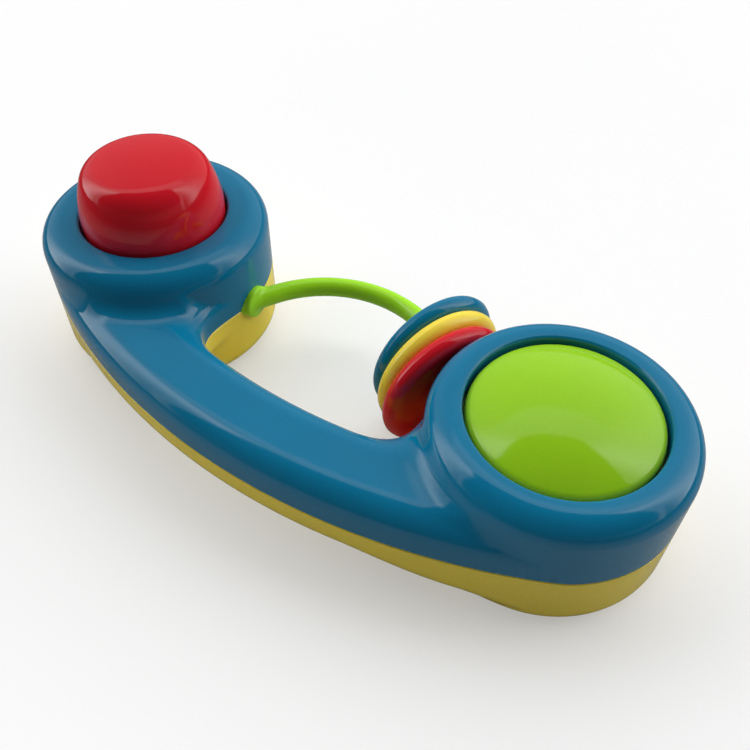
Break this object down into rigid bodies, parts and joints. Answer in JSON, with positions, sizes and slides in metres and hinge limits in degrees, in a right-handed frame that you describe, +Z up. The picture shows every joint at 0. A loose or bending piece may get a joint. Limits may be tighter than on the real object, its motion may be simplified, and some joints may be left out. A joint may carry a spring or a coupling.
{
  "type": "toy telephone handset",
  "caption": "Toy telephone handset: a round head with a push button at each end of a curved handle, and a bent grab rod with sliding discs between the heads.",
  "frame": {"origin": "middle of the outline on the surface that the handset lies on", "axes": "+X from the red button's head to the green button's head, -Y towards the curved handle, +Z up, the way the buttons face"},
  "size_m": [0.1496, 0.063, 0.0452],
  "materials": {
    "teal_plastic": "glossy moulded ABS",
    "yellow_plastic": "glossy moulded ABS",
    "red_plastic": "glossy moulded ABS",
    "green_plastic": "glossy moulded ABS",
    "spring_steel": "plated spring wire and strip",
    "screw_steel": "zinc plated",
    "pressed_steel": "pressed and plated",
    "magnet": "sintered ferrite",
    "circuit_board": "solder mask on fibre board",
    "black_plastic": "moulded resin",
    "cone_paper": "pulp cone",
    "wire_cover": "vinyl insulation"
  },
  "bodies": {
    "handset": {"front_shell": "teal_plastic", "rear_shell": "yellow_plastic", "red_button_spring": "spring_steel", "green_button_spring": "spring_steel", "grab_rod": "green_plastic", "main_board": "circuit_board", "main_board_screws": "screw_steel", "sound_chip": "black_plastic", "board_components": "black_plastic", "red_button_switch": "black_plastic", "speaker_frame": "pressed_steel", "speaker_cone": "cone_paper", "speaker_magnet": "magnet", "switch_board": "circuit_board", "switch_board_screws": "screw_steel", "green_button_switch": "black_plastic", "battery_cells": "pressed_steel", "positive_contact": "spring_steel", "negative_contact": "spring_steel", "battery_door": "yellow_plastic", "battery_door_screw": "screw_steel", "head_screws": "screw_steel", "handle_screws": "screw_steel", "battery_wires": "wire_cover", "switch_wires": "wire_cover", "speaker_wires": "wire_cover"},
    "red_button": {"red_button": "red_plastic"},
    "green_button": {"green_button": "green_plastic"},
    "red_disc": {"red_disc": "red_plastic"},
    "yellow_disc": {"yellow_disc": "yellow_plastic"},
    "blue_disc": {"blue_disc": "teal_plastic"}
  },
  "joints": [
    {"name": "red_button_press", "type": "slide", "parent": "handset", "child": "red_button", "axis": [0, 0, -1], "range_m": [0, 0.004], "stiffness_N_per_m": 500, "springref_m": -0.003, "deforming": ["red_button_spring"]},
    {"name": "green_button_press", "type": "slide", "parent": "handset", "child": "green_button", "axis": [0, 0, -1], "range_m": [0, 0.003], "stiffness_N_per_m": 500, "springref_m": -0.003, "deforming": ["green_button_spring"]},
    {"name": "red_disc_slide", "type": "hinge", "parent": "handset", "child": "red_disc", "pos_m": [0, -0.00092, 0.016], "axis": [0, 0, 1], "range_deg": [0, 27]},
    {"name": "yellow_disc_slide", "type": "hinge", "parent": "red_disc", "child": "yellow_disc", "pos_m": [0, -0.00092, 0.016], "axis": [0, 0, 1], "range_deg": [0, 27]},
    {"name": "blue_disc_slide", "type": "hinge", "parent": "yellow_disc", "child": "blue_disc", "pos_m": [0, -0.00092, 0.016], "axis": [0, 0, 1], "range_deg": [0, 27]}
  ]
}
